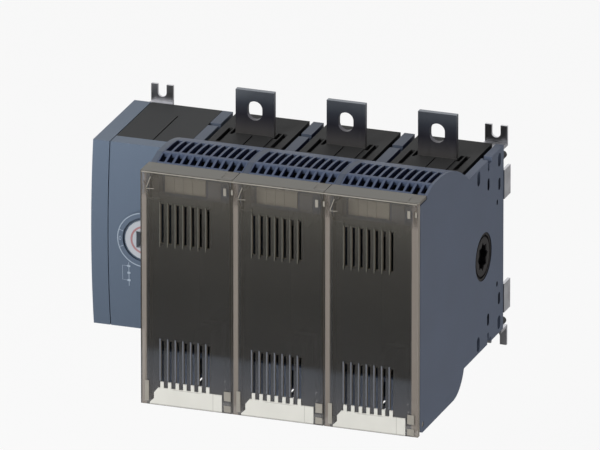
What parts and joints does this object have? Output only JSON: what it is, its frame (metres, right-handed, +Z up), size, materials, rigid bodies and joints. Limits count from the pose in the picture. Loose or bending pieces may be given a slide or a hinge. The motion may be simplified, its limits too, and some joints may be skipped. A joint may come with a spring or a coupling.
{
  "type": "fuse switch disconnector",
  "caption": "Fuse switch with a side drive, smoked hinged covers over the fuse bays, slotted lugs and steel mounting brackets.",
  "frame": {"origin": "centre of the four mounting slots, in the mounting plane", "axes": "+Z up, covers and drive face -Y, drive unit on the -X side"},
  "size_m": [0.2688, 0.1909, 0.1974],
  "materials": {
    "slate_plastic": "moulded slate grey",
    "charcoal_plastic": "moulded charcoal",
    "smoked_plastic": "smoked transparent",
    "label_plastic": "pale satin",
    "terminal_metal": "plated copper, dull grey",
    "zinc_steel": "zinc plated",
    "rotor_plastic": "black moulded",
    "copper": "bare copper",
    "dial_plastic": "pale grey moulded"
  },
  "bodies": {
    "root": {"right_side_wall": "slate_plastic", "drive_side_shell": "slate_plastic", "drive_front_panel": "slate_plastic", "drive_case": "charcoal_plastic", "mounting_bracket_left": "zinc_steel", "mounting_bracket_right": "zinc_steel", "rear_feet_left": "rotor_plastic", "rear_feet_right": "rotor_plastic", "partition_1": "slate_plastic", "upper_vent_1": "slate_plastic", "lower_vent_1": "slate_plastic", "switch_case_1": "charcoal_plastic", "switch_base_1": "charcoal_plastic", "line_terminal_1": "terminal_metal", "load_terminal_1": "terminal_metal", "upper_fuse_contact_1": "terminal_metal", "lower_fuse_contact_1": "terminal_metal", "grip_bands_1": "zinc_steel", "partition_2": "slate_plastic", "upper_vent_2": "slate_plastic", "lower_vent_2": "slate_plastic", "switch_case_2": "charcoal_plastic", "switch_base_2": "charcoal_plastic", "line_terminal_2": "terminal_metal", "load_terminal_2": "terminal_metal", "upper_fuse_contact_2": "terminal_metal", "lower_fuse_contact_2": "terminal_metal", "grip_bands_2": "zinc_steel", "partition_3": "slate_plastic", "upper_vent_3": "slate_plastic", "lower_vent_3": "slate_plastic", "switch_case_3": "charcoal_plastic", "switch_base_3": "charcoal_plastic", "line_terminal_3": "terminal_metal", "load_terminal_3": "terminal_metal", "upper_fuse_contact_3": "terminal_metal", "lower_fuse_contact_3": "terminal_metal", "grip_bands_3": "zinc_steel"},
    "drive_hub": {"drive_dial": "dial_plastic", "drive_gear": "rotor_plastic"},
    "main_shaft": {"switch_shaft": "zinc_steel", "shaft_end_hub": "charcoal_plastic", "shaft_gear": "rotor_plastic", "contact_rotor_1": "rotor_plastic", "line_bridge_1": "copper", "load_bridge_1": "copper", "contact_rotor_2": "rotor_plastic", "line_bridge_2": "copper", "load_bridge_2": "copper", "contact_rotor_3": "rotor_plastic", "line_bridge_3": "copper", "load_bridge_3": "copper"},
    "cover_1": {"fuse_cover_1": "smoked_plastic", "cover_label_1": "label_plastic"},
    "cover_2": {"fuse_cover_2": "smoked_plastic", "cover_label_2": "label_plastic"},
    "cover_3": {"fuse_cover_3": "smoked_plastic", "cover_label_3": "label_plastic"}
  },
  "joints": [
    {"name": "drive_turn", "type": "hinge", "parent": "root", "child": "drive_hub", "pos_m": [-0.0983, -0.0547, 0.0034], "axis": [0, 1, 0], "range_deg": [0, 90]},
    {"name": "shaft_turn", "type": "hinge", "parent": "root", "child": "main_shaft", "pos_m": [0, -0.0547, 0.0034], "axis": [1, 0, 0], "range_deg": [0, 90]},
    {"name": "cover_1_swing", "type": "hinge", "parent": "root", "child": "cover_1", "pos_m": [-0.0363, -0.1803, -0.0735], "axis": [1, 0, 0], "range_deg": [0, 90]},
    {"name": "cover_2_swing", "type": "hinge", "parent": "root", "child": "cover_2", "pos_m": [0.0297, -0.1803, -0.0735], "axis": [1, 0, 0], "range_deg": [0, 90]},
    {"name": "cover_3_swing", "type": "hinge", "parent": "root", "child": "cover_3", "pos_m": [0.0957, -0.1803, -0.0735], "axis": [1, 0, 0], "range_deg": [0, 90]}
  ],
  "couplings": [
    {"joint": "shaft_turn", "follows": "drive_turn", "ratio": 1}
  ]
}
